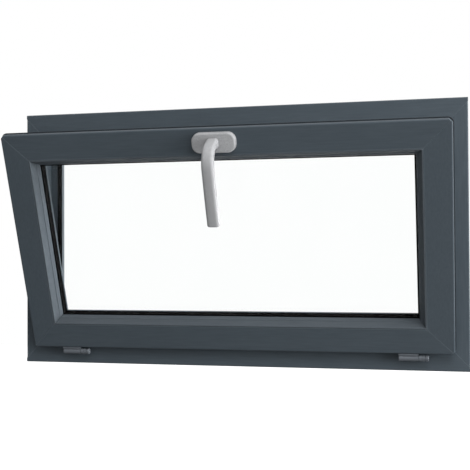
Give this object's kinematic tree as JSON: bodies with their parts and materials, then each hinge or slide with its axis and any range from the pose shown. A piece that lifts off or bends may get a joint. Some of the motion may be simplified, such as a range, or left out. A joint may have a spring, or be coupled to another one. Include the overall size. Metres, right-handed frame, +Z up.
{
  "type": "hopper window",
  "caption": "Bottom-hung hopper window: mitred plastic frame and inward-tilting sash, double glazing, barrel hinges, side stays and a turning lever handle.",
  "frame": {"origin": "middle of the sill's underside, half way through the frame's depth", "axes": "+X along the width, +Z up, -Y toward the room the sash tilts into"},
  "size_m": [0.785, 0.2598, 0.45],
  "materials": {
    "profile": "satin anthracite",
    "rubber": "matt black",
    "glass": "clear",
    "spacer": "matt black",
    "hinge": "satin anthracite",
    "handle": "satin silver",
    "steel": "zinc plated"
  },
  "bodies": {
    "frame": {"frame_sill": "profile", "frame_head": "profile", "frame_jamb_left": "profile", "frame_jamb_right": "profile", "frame_gasket": "rubber", "hinge_frame_leaf_left": "hinge", "hinge_frame_leaf_right": "hinge", "stay_bracket_left": "steel", "stay_bracket_right": "steel", "striker_left": "steel", "striker_right": "steel"},
    "sash": {"sash_bottom_rail": "profile", "sash_top_rail": "profile", "sash_stile_left": "profile", "sash_stile_right": "profile", "bead_bottom": "profile", "bead_top": "profile", "bead_left": "profile", "bead_right": "profile", "pane_inner": "glass", "pane_outer": "glass", "spacer": "spacer", "glazing_gasket_inner": "rubber", "glazing_gasket_outer": "rubber", "sash_seal": "rubber", "hinge_sash_leaf_left": "hinge", "hinge_sash_leaf_right": "hinge", "handle_rosette": "handle", "stay_channel_left": "steel", "stay_channel_right": "steel", "gear_faceplate": "steel", "locking_cam_left": "steel", "locking_cam_right": "steel"},
    "handle": {"handle_lever": "handle"},
    "stay_left": {"stay_arm_left": "steel"},
    "stay_right": {"stay_arm_right": "steel"}
  },
  "joints": [
    {"name": "sash_tilt", "type": "hinge", "parent": "frame", "child": "sash", "pos_m": [0, -0.045, 0.0222], "axis": [1, 0, 0], "range_deg": [-20, 0]},
    {"name": "handle_turn", "type": "hinge", "parent": "sash", "child": "handle", "pos_m": [0, -0.17661, 0.37209], "axis": [0, -0.9397, -0.342], "range_deg": [-90, 0]},
    {"name": "stay_swing_left", "type": "hinge", "parent": "frame", "child": "stay_left", "pos_m": [-0.3605, -0.015, 0.17749], "axis": [1, 0, 0], "range_deg": [-40, 0]},
    {"name": "stay_swing_right", "type": "hinge", "parent": "frame", "child": "stay_right", "pos_m": [0.3605, -0.015, 0.17749], "axis": [1, 0, 0], "range_deg": [-40, 0]}
  ],
  "couplings": [
    {"joint": "stay_swing_left", "follows": "sash_tilt", "ratio": 2},
    {"joint": "stay_swing_right", "follows": "sash_tilt", "ratio": 2}
  ]
}
